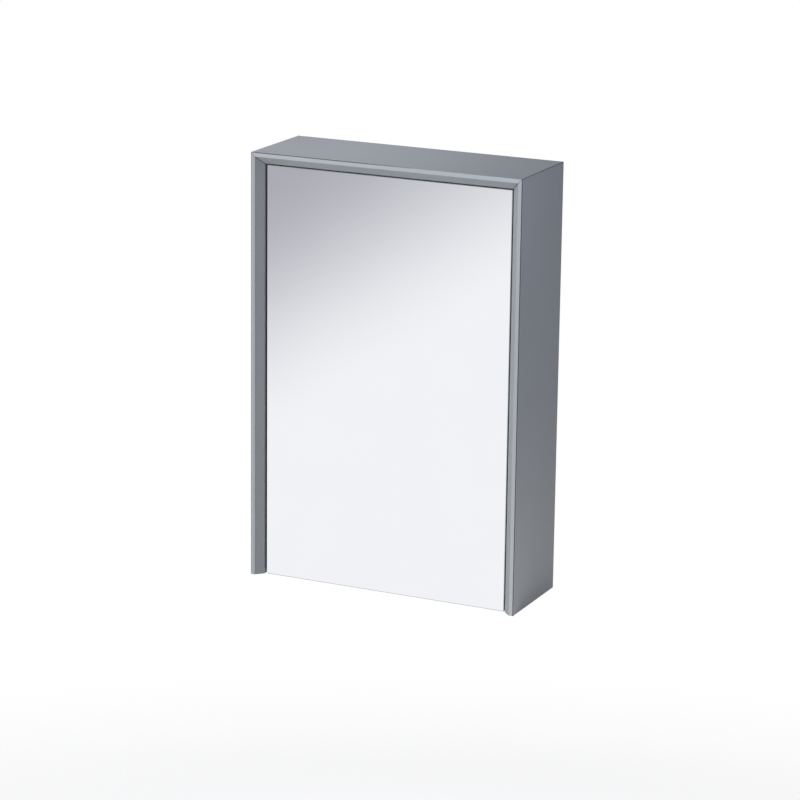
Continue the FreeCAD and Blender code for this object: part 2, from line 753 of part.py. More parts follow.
def make_pivot_hardware():
    screws = []
    pins = []
    bushes = []
    for word, (level, way) in BRACKET_LEVELS.items():
        for end, y_place in BRACKET_SCREW_PLACES.items():
            start = bracket_screw_start(level, way, y_place, f"bracket_thickness - {INNER}")
            head = rod(f"bracket_head_{word}_{end}", start, "+X", "bracket_screw_head",
                       "bracket_screw_head_height")
            shank = rod(f"bracket_shank_{word}_{end}", start, "-X", "bracket_screw_radius",
                        "bracket_screw_length")
            screws.append(fuse(f"bracket_screw_{word}_{end}", [head, shank]))
        pin_start = (PIVOT_X, PIVOT_Y, level)
        pins.append(rod(f"pivot_pin_{word}", pin_start, upward(way), "pin_radius",
                        "bracket_thickness + pin_reach"))
        seat = (PIVOT_X, PIVOT_Y, f"{level} + {way} * (bracket_thickness + running_clearance)")
        flange = rod(f"bush_flange_{word}", seat, upward(way), FLANGE_RADIUS, "flange_thickness")
        barrel = rod(f"bush_barrel_{word}", seat, upward(way), BUSH_RADIUS, "bush_length + flange_thickness")
        blank = fuse(f"bush_blank_{word}", [flange, barrel])
        bore = rod(f"bush_bore_{word}", seat, upward(way), "pin_radius + running_clearance",
                   "bush_length + flange_thickness")
        bushes.append(cut(f"pivot_bush_{word}", blank, [bore]))
    node(group("pivot_bracket_screws", screws), "pivot_bracket_screws")
    node(group("pivot_pins", pins), "pivot_pins")
    node(group("pivot_bushes", bushes), "pivot_bushes")


def make_catch():
    start = (CATCH_X, MAGNET_FRONT, MID_BOARD)
    magnet_length = f"{PANEL_FRONT} + magnet_bite - {MAGNET_FRONT}"
    node(rod("catch_magnet", start, "+Y", "magnet_radius", magnet_length), "catch_magnet")
    sleeve_start = (CATCH_X, f"{MAGNET_FRONT} + sleeve_step", MID_BOARD)
    sleeve_length = f"{PANEL_FRONT} + sleeve_bite - {MAGNET_FRONT} - sleeve_step"
    tube = rod("sleeve_tube", sleeve_start, "+Y", SLEEVE_RADIUS, sleeve_length)
    collar_start = (CATCH_X, f"{PANEL_FRONT} - collar_thickness", MID_BOARD)
    collar = rod("sleeve_collar", collar_start, "+Y", "collar_radius", "collar_thickness")
    blank = fuse("sleeve_blank", [tube, collar])
    bore = rod("sleeve_bore", sleeve_start, "+Y", "magnet_radius + fit_clearance", sleeve_length)
    node(cut("catch_sleeve", blank, [bore]), "catch_sleeve")


def make_strike_screw(name, clearance):
    """The countersunk screw through the strike plate, or the hole for it."""
    start = (CATCH_X, f"{DOOR_BACK} + strike_thickness", MID_BOARD)
    head = taper(f"{name}_head", start, "-Y", f"strike_screw_head + {clearance}",
                 f"strike_screw_radius + {clearance}", "strike_screw_head_height")
    shank = rod(f"{name}_shank", start, "-Y", f"strike_screw_radius + {clearance}",
                f"strike_screw_length + {clearance}")
    return fuse(name, [head, shank])


def make_strike():
    disc = rod("strike_disc", (CATCH_X, DOOR_BACK, MID_BOARD), "+Y", "strike_radius", "strike_thickness")
    hole = make_strike_screw("strike_hole", "fit_clearance")
    node(cut("strike_plate", disc, [hole]), "strike_plate")
    node(make_strike_screw("strike_screw", "0"), "strike_screw")


def make_bumpers():
    bumpers = []
    length = f"{PANEL_FRONT} - {DOOR_BACK} - bumper_gap"
    for word, side in SIDES.items():
        start = (f"{side} * ({INNER} - bumper_from_side)", PANEL_FRONT, MID_BOARD)
        bumpers.append(taper(f"bumper_{word}", start, "-Y", "bumper_radius", "bumper_nose", length))
    node(group("door_bumpers", bumpers), "door_bumpers")


def make_door_panel():
    blank = block("door_panel_blank", (DOOR_LEFT, DOOR_RIGHT), (DOOR_FRONT, DOOR_BACK), (BOTTOM, DOOR_TOP))
    notch_x = (DOOR_LEFT, f"{PIVOT_X} + tongue_width + notch_clearance")
    edges = {"lower": (BOTTOM, 1), "upper": (DOOR_TOP, -1)}
    tools = []
    for word, (edge, way) in edges.items():
        notch_z = upright(way, edge, f"{edge} + {way} * {NOTCH}")
        notch = block(f"notch_{word}", notch_x, (DOOR_FRONT, DOOR_BACK), notch_z)
        bore = rod(f"bush_hole_{word}", (PIVOT_X, PIVOT_Y, edge), upward(way),
                   f"{BUSH_RADIUS} + fit_clearance", f"{NOTCH} + bush_length + fit_clearance")
        tools.append(fuse(f"pivot_recess_{word}", [notch, bore]))
    tools.append(make_strike_screw("strike_pilot", "fit_clearance"))
    node(cut("door_panel", blank, tools), "door_panel")


def make_mirror():
    body = new_body("mirror_glass")
    corners = [
        (DOOR_LEFT, BOTTOM),
        (DOOR_RIGHT, BOTTOM),
        (DOOR_RIGHT, DOOR_TOP),
        (DOOR_LEFT, DOOR_TOP),
    ]
    sheet_of_glass = pad(body, outline(body, "XZ_Plane", corners, f"-{GLASS_BACK}"), "glass_thickness")
    doc.recompute()
    front = value(GLASS_FRONT)
    tolerance = value("fit_clearance")
    front_edges = []
    for index, edge in enumerate(sheet_of_glass.Shape.Edges, start=1):
        if all(abs(vertex.Y - front) < tolerance for vertex in edge.Vertexes):
            front_edges.append(f"Edge{index}")
    chamfer(body, sheet_of_glass, front_edges, "glass_arris")
    node(body, "mirror_glass")


def make_tape():
    strips = []
    first = f"({DOOR_LEFT} + tape_margin)"
    last = f"({DOOR_RIGHT} - tape_margin - tape_width)"
    for index in range(TAPE_STRIPS):
        left = f"({first} + {index} * ({last} - {first}) / {TAPE_STRIPS - 1})"
        strips.append(block(f"tape_strip_{index}", (left, f"{left} + tape_width"), (GLASS_BACK, DOOR_FRONT),
                            (f"{BOTTOM} + tape_margin", f"{DOOR_TOP} - tape_margin")))
    node(group("mirror_tape", strips), "mirror_tape")


def check_document():
    """Stop if any object failed, any piece is not sound or any cut took nothing away."""
    for thing in doc.Objects:
        if "Invalid" in thing.State or "Error" in thing.State:
            raise RuntimeError(f"{thing.Label} failed: {thing.State}")
    for piece in nodes:
        if piece.Shape.isNull() or not piece.Shape.isValid() or not piece.Shape.Solids:
            raise RuntimeError(f"{piece.Label} is not a sound solid")
    for base, result in cut_pairs:
        if result.Shape.Volume >= base.Shape.Volume:
            raise RuntimeError(f"{result.Label} took nothing away")


for side_word, side_sign in SIDES.items():
    make_side_panel(side_word, side_sign)
make_top_panel()
make_splines()
make_bottom_panel()
make_bottom_joints()
make_back_panel()
for shelf_word in SHELF_UNDERSIDES:
    make_shelf(shelf_word)
make_shelf_supports()
make_wall_rail()
make_hangers()
for bracket_word in BRACKET_LEVELS:
    make_pivot_bracket(bracket_word)
make_pivot_hardware()
make_catch()
make_bumpers()
make_door_panel()
make_mirror()
make_tape()
make_strike()
doc.recompute()
check_document()

os.makedirs("parts", exist_ok=True)
for piece in nodes:
    piece.Shape.exportStep(f"parts/{piece.Label}.step")
print(len(nodes), "pieces written")
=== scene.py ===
import json
import math

import bmesh
import bpy
from mathutils import Matrix, Vector


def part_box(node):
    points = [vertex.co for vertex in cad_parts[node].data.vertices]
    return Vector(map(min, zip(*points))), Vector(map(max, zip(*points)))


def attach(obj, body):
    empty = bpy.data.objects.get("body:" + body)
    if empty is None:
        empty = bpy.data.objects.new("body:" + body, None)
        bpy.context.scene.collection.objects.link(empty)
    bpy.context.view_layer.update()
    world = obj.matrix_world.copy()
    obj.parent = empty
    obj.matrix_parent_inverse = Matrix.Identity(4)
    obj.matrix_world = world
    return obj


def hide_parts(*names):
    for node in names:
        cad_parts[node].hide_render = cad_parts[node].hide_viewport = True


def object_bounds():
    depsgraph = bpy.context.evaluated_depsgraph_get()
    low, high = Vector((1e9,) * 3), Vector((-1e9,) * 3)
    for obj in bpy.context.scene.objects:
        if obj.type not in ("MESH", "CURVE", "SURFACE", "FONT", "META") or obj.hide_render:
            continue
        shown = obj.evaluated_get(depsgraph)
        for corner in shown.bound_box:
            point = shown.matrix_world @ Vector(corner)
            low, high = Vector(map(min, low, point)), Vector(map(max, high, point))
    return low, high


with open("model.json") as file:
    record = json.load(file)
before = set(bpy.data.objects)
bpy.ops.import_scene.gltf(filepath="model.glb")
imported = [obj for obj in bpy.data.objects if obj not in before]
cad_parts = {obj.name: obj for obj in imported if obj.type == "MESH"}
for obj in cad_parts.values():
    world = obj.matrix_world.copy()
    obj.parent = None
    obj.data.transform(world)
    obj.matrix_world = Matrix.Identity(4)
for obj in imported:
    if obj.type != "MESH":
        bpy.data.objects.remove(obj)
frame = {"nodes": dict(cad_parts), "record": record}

# The looks of a wall-hung mirror cabinet: satin lacquer on the box and the door, silvered glass in
# front, and the shelves, pivots, catch and hangers that show with the door open or from behind.
# Metres, in the cabinet's own frame: X to the right, Y into the wall and Z up.

cad_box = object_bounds()
LOW, HIGH = cad_box
MM = 0.001

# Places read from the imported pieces
FRONT = LOW.y
BOTTOM = LOW.z
TOP = HIGH.z
HALF_WIDTH = HIGH.x
MIDDLE = (LOW + HIGH) / 2
GLASS_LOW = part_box("mirror_glass")[0]
SHELF_LOW, SHELF_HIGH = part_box("glass_shelf_lower")
BACK_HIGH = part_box("back_panel")[1]

# Camera, at the photograph's viewing angle
VIEW_AZIMUTH = math.radians(25.19)
VIEW_ELEVATION = math.radians(15.01)
VIEW_ROLL = math.radians(0.71)
VIEW_DISTANCE = 4.34
VIEW_AIM = Vector((0.0277, FRONT, -0.2592))
LENS = 144.67

# Lamps, in watts and metres, that face the cabinet's middle unless they have an aim of their own
LAMPS = {
    "key_softbox": dict(power=35, size=1.4, tint=(0.97, 1, 1.02), place=(-1.54, -2.11, 0.21)),
    "top_softbox": dict(power=0.26, size=0.3, tint=(0.95, 0.98, 1.12), place=(-0.1, -0.05, 0.8),
                        aim=Vector((-0.1, MIDDLE.y, TOP)), spread=math.radians(56)),
    "fill_softbox": dict(power=0.34, size=0.16, tint=(1, 0.95, 0.94), place=(0.4, -0.3, -0.6),
                         mirrored=False),
    "sky_softbox": dict(power=0.28, size=0.2, tint=(0.84, 0.97, 1.32), place=(0.47, -0.32, 0.12),
                        mirrored=False),
    "rear_softbox": dict(power=13, size=0.6, tint=(1, 1, 1.02), place=(-1.0, 2.2, -0.45),
                         mirrored=False),
}
AMBIENT = (0.367, 0.3743, 0.4, 1)
WHITE = (1, 1, 1, 1)
BLACK = (0, 0, 0, 1)

# Floor, which is lit near the cabinet and fades to white between two distances
FLOOR_LEVEL = BOTTOM - 1.2
FLOOR_HALF = 30
FLOOR_TONE = (0.8, 0.8, 0.8, 1)
FLOOR_LIFT = (0.42, 0.42, 0.42, 1)
FLOOR_FADE = (1.2, 3.0)

# Cards that stand before and behind the cabinet, for the mirror and the lacquer to reflect
CARD_HALF = 6
CARD_TOP = 2.5
CARD_PLACE = FRONT - 1.6
CARD_FOOT = (-1.15, -1.65)
CARD_GREY = (0.456, 0.459, 0.494, 1)
CARD_DARK = (0.1, 0.105, 0.115, 1)
GRADE_LEFT = -1.01
GRADE_RIGHT = 0.75
GRADE_HEIGHT = -0.313
GRADE_SLOPE = (0.56, 0.83)
GRADE_WIDTH = 0.445
RIGHT_SHADE = 0.8
RIGHT_SHADE_END = (1.6, 2.6)
FAR_RIGHT_SHADE = 0.55
FAR_RIGHT_START = (2.0, 3.2)
FAR_RIGHT_CLIMB = (-1.2, 0.1)
FAR_LEFT_START = (-1.5, -2.4)
FAR_LEFT_FALL = (0.3, -1.3)
BACK_CARD_PLACE = 3.0
BACK_CARD_GREY = (0.2, 0.215, 0.25, 1)
BACK_CARD_LEFT = (-0.9, -2.0)

# Flag beside the foot of the right side
FLAG_GAP = 5 * MM
FLAG_WIDTH = 40 * MM
FLAG_TONE = (0.05, 0.05, 0.05, 1)


def shade(red, green, blue):
    """A colour given as it looks on a screen, from 0 to 255, in the light values that shaders use."""
    levels = []
    for level in (red, green, blue):
        part = level / 255
        levels.append(part / 12.92 if part <= 0.04045 else ((part + 0.055) / 1.055) ** 2.4)
    return (*levels, 1)


class Wire:
    """One output of a node. Sums on it add Math nodes to its graph."""

    def __init__(self, graph, socket):
        self.graph = graph
        self.socket = socket

    def out(self, name):
        """Another output of the same node."""
        return Wire(self.graph, self.socket.node.outputs[name])

    def sum(self, operation, *terms):
        """The result of a Math node on the terms."""
        return self.graph.node("ShaderNodeMath", {"operation": operation}, dict(enumerate(terms)))

    def __add__(self, other):
        return self.sum("ADD", self, other)

    def __radd__(self, other):
        return self.sum("ADD", other, self)

    def __sub__(self, other):
        return self.sum("SUBTRACT", self, other)

    def __rsub__(self, other):
        return self.sum("SUBTRACT", other, self)

    def __mul__(self, other):
        return self.sum("MULTIPLY", self, other)

    def __rmul__(self, other):
        return self.sum("MULTIPLY", other, self)

    def __truediv__(self, other):
        return self.sum("DIVIDE", self, other)

    def __neg__(self):
        return self.sum("MULTIPLY", -1, self)

    def __lt__(self, other):
        return self.sum("LESS_THAN", self, other)

    def __gt__(self, other):
        return self.sum("GREATER_THAN", self, other)

    def __abs__(self):
        return self.sum("ABSOLUTE", self)

    def floor(self):
        return self.sum("FLOOR", self)

    def sine(self):
        return self.sum("SINE", self)

    def cosine(self):
        return self.sum("COSINE", self)

    def most(self, other):
        return self.sum("MAXIMUM", self, other)

    def swing(self, reach):
        """Back and forth between nothing and the reach."""
        return self.sum("PINGPONG", self, reach)

    def rise(self, start, end):
        """From 0 at the start to 1 at the end, easing in and out."""
        limits = {"Value": self, "From Min": start, "From Max": end}
        return self.graph.node("ShaderNodeMapRange", {"interpolation_type": "SMOOTHSTEP"}, limits)


class Graph:
    """A node tree in the making."""

    def __init__(self, tree):
        self.tree = tree

    def node(self, kind, settings=None, inputs=None, output=0):
        """Add one node: its settings first, then the values or links of its sockets."""
        made = self.tree.nodes.new(kind)
        for name, value in (settings or {}).items():
            if name == "items":
                while len(made.index_switch_items) < value:
                    made.index_switch_items.new()
            else:
                setattr(made, name, value)
        for name, value in (inputs or {}).items():
            for entry in value if isinstance(value, list) else [value]:
                if isinstance(entry, Wire):
                    self.tree.links.new(entry.socket, made.inputs[name])
                else:
                    made.inputs[name].default_value = entry
        return Wire(self, made.outputs[output]) if made.outputs else made

    def mix(self, mask, first, second):
        """The first colour where the mask is 0 and the second where it is 1."""
        return self.node("ShaderNodeMix", {"data_type": "RGBA"}, {0: mask, 6: first, 7: second}, 2)

    def joined(self, x, y, z):
        """A vector of three values."""
        return self.node("ShaderNodeCombineXYZ", None, {"X": x, "Y": y, "Z": z})


class Finish(Graph):
    """A material in the making, painted by where a point lies in the cabinet's frame."""

    def __init__(self, name):
        self.material = bpy.data.materials.new(name)
        self.material.use_nodes = True
        super().__init__(self.material.node_tree)
        self.tree.nodes.clear()
        self.place = self.node("ShaderNodeTexCoord").out("Object")
        self.x = self.node("ShaderNodeSeparateXYZ", None, {"Vector": self.place})
        self.y = self.x.out("Y")
        self.z = self.x.out("Z")

    def noise(self, per_metre, detail=2, stretch=(1, 1, 1)):
        """Soft noise with about that many blots to the metre."""
        place = self.node("ShaderNodeMapping", None, {"Vector": self.place, "Scale": stretch})
        blots = {"Vector": place, "Scale": per_metre, "Detail": detail}
        return self.node("ShaderNodeTexNoise", None, blots)

    def grains(self, per_metre):
        """Cells of random brightness, about that many to the metre."""
        cells = self.node("ShaderNodeTexVoronoi", None, {"Vector": self.place, "Scale": per_metre})
        return self.node("ShaderNodeSeparateColor", None, {"Color": cells.out("Color")})

    def bump(self, height, depth, rounding=None):
        """A normal that follows the height, over edges rounded by the shader where that is asked for."""
        inputs = {"Height": height, "Strength": 1, "Distance": depth}
        if rounding:
            inputs["Normal"] = self.node("ShaderNodeBevel", None, {"Radius": rounding})
        return self.node("ShaderNodeBump", None, inputs)

    def shader(self, inputs):
        """One surface shader."""
        return self.node("ShaderNodeBsdfPrincipled", None, inputs)

    def light(self, colour):
        """A shader that gives plain light, in which white is 1."""
        return self.node("ShaderNodeEmission", None, {"Color": colour})

    def blend(self, mask, first, second):
        """The first shader where the mask is 0 and the second where it is 1."""
        return self.node("ShaderNodeMixShader", None, {0: mask, 1: first, 2: second})

    def end(self, shader):
        """End the material in a shader."""
        self.node("ShaderNodeOutputMaterial", None, {"Surface": shader})
        return self.material

    def surface(self, inputs):
        """End the material in one surface shader."""
        return self.end(self.shader(inputs))


# Finishes

LACQUER_DEEP = shade(149, 153, 156)
LACQUER_PALE = shade(154, 158, 161)
# Colour of the dark mitre joints and of the painted shade line along the outer front edges
JOINT_AND_SHADE_LINE = shade(66, 68, 72)
SILVER = shade(243, 243, 247)
SILVER_DULL = shade(240, 241, 245)
GROUND_GLASS = shade(236, 240, 240)
GLASS_EDGE = shade(96, 128, 118)
GLASS_EDGE_DEEP = shade(60, 92, 84)
CLEAR_GLASS = shade(250, 253, 252)
GREEN_GLASS_DEEP = shade(112, 168, 152)
GREEN_GLASS = shade(158, 208, 194)
GLASS_BEND = 1.52
PLASTIC_BEND = 1.45
FOIL_DEEP = shade(166, 170, 175)
FOIL_PALE = shade(171, 175, 180)
FIBRE_DEEP = shade(122, 90, 62)
FIBRE_PALE = shade(178, 142, 106)
BEECH_DEEP = shade(176, 132, 92)
BEECH_PALE = shade(218, 180, 138)
BEECH_FLECK = shade(128, 88, 56)
FOAM_DEEP = shade(206, 207, 205)
FOAM_PALE = shade(236, 236, 233)

# Widths of the dark mitre joint lines and of the painted shade line along the outer front edges, which
# fades out towards the right along the top
MITRE_LINE = 0.7 * MM
EDGE_SHADE_LINE = 0.9 * MM
LINE_STRENGTH = 0.92
BAND_LINE_LOSS = 0.5
TOP_SHADE_FADE = (0.4 * HALF_WIDTH, -0.2 * HALF_WIDTH)
# Depth of the front band that takes the painted highlight
BAND_DEPTH = 0.05 * MM
FACE_DEPTH = 0.03 * MM
GLASS_ARRIS = 0.8 * MM
SHELF_RIM = 0.6 * MM
RAW_DEPTH = 0.5 * MM
SCREEN_PITCH = 1.6 * MM
FLECK_LEVEL = 0.62

# Painted highlight: each mitred board's front band is painted paler, each by its own amount, for the light
# that falls on the front strips
BOARD_BAND_HIGHLIGHTS = {
    "lacquered_board": None,
    "left_board": shade(174, 176, 178),
    "top_board": shade(188, 191, 194),
    "right_board": shade(179, 182, 184),
}
METALS = {
    "zinc_steel": dict(deep=shade(186, 190, 196), pale=shade(214, 217, 221), polish=0.26, per_metre=420),
    "screw_steel": dict(deep=shade(172, 174, 176), pale=shade(206, 207, 208), polish=0.2, per_metre=900),
    "cast_zinc": dict(deep=shade(142, 145, 149), pale=shade(176, 179, 183), polish=0.4, per_metre=1100,
                      depth=0.05 * MM),
    "pin_steel": dict(deep=shade(184, 186, 188), pale=shade(214, 215, 216), polish=0.12, per_metre=1500),
    "bush_brass": dict(deep=shade(196, 160, 92), pale=shade(222, 190, 122), polish=0.2, per_metre=1200),
    "magnet": dict(deep=shade(170, 170, 168), pale=shade(205, 204, 200), polish=0.16, per_metre=1300),
}
PLASTICS = {
    "nylon": dict(deep=shade(206, 208, 209), pale=shade(220, 222, 222), roughness=0.42),
    "silicone": dict(deep=shade(228, 230, 230), pale=shade(240, 242, 242), roughness=0.3, clearness=0.55),
}


def joint_and_shade_lines(finish, band):
    """The mitres as dark joint lines, and a painted shade line along the outer front edges, fading along
    the top.
    """
    from_side = HALF_WIDTH - abs(finish.x)
    from_top = TOP - finish.z
    mitre = (abs(from_side - from_top) < MITRE_LINE) * (1 - BAND_LINE_LOSS * band)
    # Painted shade: a dark line on the side and top faces next to the outer front edges, fading out towards
    # the right along the top
    side_edge_shade = from_side < EDGE_SHADE_LINE
    top_edge_shade = (from_top < EDGE_SHADE_LINE) * finish.x.rise(*TOP_SHADE_FADE)
    front_edge = finish.y < FRONT + EDGE_SHADE_LINE
    return LINE_STRENGTH * mitre.most(side_edge_shade.most(top_edge_shade) * front_edge)


def lacquer(name, band_highlight):
    """Satin lacquer, faintly clouded, with a fine orange peel; mitred boards get a painted highlight on the
    front band.
    """
    finish = Finish(name)
    colour = finish.mix(finish.noise(5, detail=3), LACQUER_DEEP, LACQUER_PALE)
    if band_highlight:
        # Painted highlight: the front band is painted paler, for the light that falls on the front strips
        band = finish.y < FRONT + BAND_DEPTH
        colour = finish.mix(band, colour, band_highlight)
        # Dark mitre joint lines, and painted shade as a dark line along the outer front edges
        colour = finish.mix(joint_and_shade_lines(finish, band), colour, JOINT_AND_SHADE_LINE)
    return finish.surface({
        "Base Color": colour,
        "Roughness": 0.46 + 0.08 * finish.noise(60, detail=3),
        "Specular IOR Level": 0.35,
        "Normal": finish.bump(finish.noise(700), depth=0.01 * MM, rounding=0.25 * MM),
    })


def silvered_glass():
    """A mirror's silvered face, its ground arris and its green edges; the bottom arris is painted edge
    green as shade.
    """
    finish = Finish("silvered_glass")
    face = finish.y < GLASS_LOW.y + FACE_DEPTH
    # Painted shade: along the bottom the arris takes the darker green edge colour instead of ground glass
    above = finish.z > GLASS_LOW.z + GLASS_ARRIS
    arris = (finish.y < GLASS_LOW.y + GLASS_ARRIS) * above
    cloud = finish.noise(14, detail=3)
    edge = finish.mix(finish.noise(240), GLASS_EDGE_DEEP, GLASS_EDGE)
    rim = finish.mix(arris, edge, GROUND_GLASS)
    return finish.surface({
        "Base Color": finish.mix(face, rim, finish.mix(cloud, SILVER_DULL, SILVER)),
        "Metallic": face.most(0.8 * arris),
        "Roughness": (1 - face) * 0.2 + face * cloud * 0.02,
    })


def shelf_glass():
    """Clear glass, green through its edges."""
    finish = Finish("shelf_glass")
    side_rim = abs(finish.x) > SHELF_HIGH.x - SHELF_RIM
    front_rim = finish.y < SHELF_LOW.y + SHELF_RIM
    back_rim = finish.y > SHELF_HIGH.y - SHELF_RIM
    rim = side_rim.most(front_rim).most(back_rim)
    clear = finish.shader({
        "Base Color": CLEAR_GLASS,
        "Roughness": 0.01 * finish.noise(30, detail=3),
        "Transmission Weight": 1,
        "IOR": GLASS_BEND,
    })
    green = finish.shader({
        "Base Color": finish.mix(finish.noise(180, detail=3), GREEN_GLASS_DEEP, GREEN_GLASS),
        "Roughness": 0.08 + 0.06 * finish.noise(90),
        "IOR": GLASS_BEND,
    })
    return finish.end(finish.blend(rim, clear, green))


def thin_board():
    """Pressed fibre board, faced with a grey foil towards the shelves and raw towards the wall."""
    finish = Finish("thin_board")
    raw = finish.y > BACK_HIGH.y - RAW_DEPTH
    fibres = finish.noise(420, detail=6)
    clumps = finish.noise(60, detail=4)
    flecks = finish.grains(700)
    waves = 2 * math.pi / SCREEN_PITCH
    screen = (finish.x * waves).sine() * (finish.z * waves).sine()
    tone = 0.45 * fibres + 0.35 * clumps + 0.2 * flecks + 0.06 * screen
    bare = finish.mix(tone, FIBRE_DEEP, FIBRE_PALE)
    foil = finish.mix(finish.noise(9, detail=3), FOIL_DEEP, FOIL_PALE)
    return finish.surface({
        "Base Color": finish.mix(raw, foil, bare),
        "Roughness": 0.42 + 0.4 * raw + 0.06 * fibres,
        "Normal": finish.bump(0.15 * fibres + raw * (fibres + 0.5 * screen), depth=0.06 * MM),
    })


def metal(name, deep, pale, polish, per_metre, depth=0.01 * MM):
    """Plated, cast or turned metal, its tone and polish broken up by small grains."""
    finish = Finish(name)
    grains = finish.grains(per_metre)
    cloud = finish.noise(per_metre / 6, detail=3)
    return finish.surface({
        "Base Color": finish.mix(0.5 * grains + 0.5 * cloud, deep, pale),
        "Metallic": 1,
        "Roughness": polish + 0.12 * cloud + 0.05 * grains,
        "Normal": finish.bump(cloud, depth),
    })


def plastic(name, deep, pale, roughness, clearness=0):
    """Moulded plastic or rubber with a fine spark-eroded skin."""
    finish = Finish(name)
    skin = finish.noise(1800)
    return finish.surface({
        "Base Color": finish.mix(finish.noise(40, detail=3), deep, pale),
        "Roughness": roughness + 0.1 * skin,
        "Normal": finish.bump(skin, depth=0.02 * MM),
        "Transmission Weight": clearness,
        "IOR": PLASTIC_BEND,
    })


def beech():
    """Pale wood with short dark flecks, its fibres lying level."""
    finish = Finish("beech")
    fibres = finish.noise(160, detail=5, stretch=(1, 1, 7))
    flecks = finish.noise(420, stretch=(0.5, 0.5, 3)) > FLECK_LEVEL
    tone = finish.mix(fibres, BEECH_DEEP, BEECH_PALE)
    return finish.surface({
        "Base Color": finish.mix(0.4 * flecks, tone, BEECH_FLECK),
        "Roughness": 0.55 + 0.2 * fibres,
        "Normal": finish.bump(fibres, depth=0.05 * MM),
    })


def foam():
    """White foam tape with open cells at its cut edges."""
    finish = Finish("foam_tape")
    cells = finish.grains(2600)
    return finish.surface({
        "Base Color": finish.mix(cells, FOAM_DEEP, FOAM_PALE),
        "Roughness": 0.8 + 0.15 * cells,
        "Normal": finish.bump(cells, depth=0.08 * MM),
    })


FINISHES = {
    "thin_board": thin_board(),
    "mirror_glass": silvered_glass(),
    "shelf_glass": shelf_glass(),
    "foam_tape": foam(),
    "beech": beech(),
    **{name: lacquer(name, band_highlight) for name, band_highlight in BOARD_BAND_HIGHLIGHTS.items()},
    **{name: metal(name, **look) for name, look in METALS.items()},
    **{name: plastic(name, **look) for name, look in PLASTICS.items()},
}
KEPT_NODES = {
    "side_panel_left": "left_board",
    "side_panel_right": "right_board",
    "top_panel": "top_board",
    "bottom_panel": "lacquered_board",
    "door_panel": "lacquered_board",
    "back_panel": "thin_board",
    "mirror_glass": "mirror_glass",
    "mirror_tape": "foam_tape",
    "glass_shelf_lower": "shelf_glass",
    "glass_shelf_upper": "shelf_glass",
    "mitre_splines": "beech",
}


def dress_kept_nodes():
    """Give each piece that stays as it was packed its finish."""
    for node, finish in KEPT_NODES.items():
        slots = frame["nodes"][node].material_slots
        slots[0].material = FINISHES[finish]


# Pieces

BODY_OF = {node: body for body, nodes in frame["record"]["behaviour"]["bodies"].items() for node in nodes}
WELD = 0.001 * MM
SHARP = math.radians(35)
FACET = math.radians(20)
FLAT = math.radians(1)


def welded(mesh):
    """The mesh with its doubled points merged, ready to be reshaped."""
    shape = bmesh.new()
    shape.from_mesh(mesh)
    bmesh.ops.remove_doubles(shape, verts=shape.verts, dist=WELD)
    return shape


def joined_points(start, waiting):
    """The places of all points that edges join to the first, which are taken off those that wait."""
    waiting.remove(start)
    reached = [start]
    found = []
    while reached:
        point = reached.pop()
        found.append(point.co.copy())
        for edge in point.link_edges:
            other = edge.other_vert(point)
            if other in waiting:
                waiting.remove(other)
                reached.append(other)
    return found


def solids(node):
    """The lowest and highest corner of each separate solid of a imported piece."""
    shape = welded(frame["nodes"][node].data)
    waiting = set(shape.verts)
    boxes = []
    for start in shape.verts:
        if start in waiting:
            found = joined_points(start, waiting)
            low = Vector(min(point[axis] for point in found) for axis in range(3))
            high = Vector(max(point[axis] for point in found) for axis in range(3))
            boxes.append((low, high))
    shape.free()
    return boxes


def add_piece(name, mesh, node, crease=SHARP):
    """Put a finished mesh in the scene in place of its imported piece, on the same body."""
    mesh.shade_smooth()
    mesh.set_sharp_from_angle(angle=crease)
    piece = bpy.data.objects.new(name, mesh)
    bpy.context.scene.collection.objects.link(piece)
    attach(piece, BODY_OF[node])
    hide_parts(node)


def soften(node, slot, radius):
    """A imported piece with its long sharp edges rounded."""
    shape = welded(frame["nodes"][node].data)
    bmesh.ops.dissolve_limit(shape, angle_limit=FLAT, verts=shape.verts, edges=shape.edges)
    sharp = [edge for edge in shape.edges if edge.is_manifold and edge.calc_face_angle() > SHARP]
    bmesh.ops.bevel(shape, geom=sharp, offset=radius, segments=2, profile=0.5, affect="EDGES")
    mesh = bpy.data.meshes.new(f"{node}_soft")
    shape.to_mesh(mesh)
    shape.free()
    mesh.materials.append(FINISHES[slot])
    add_piece(f"{node}_rounded", mesh, node, FACET)


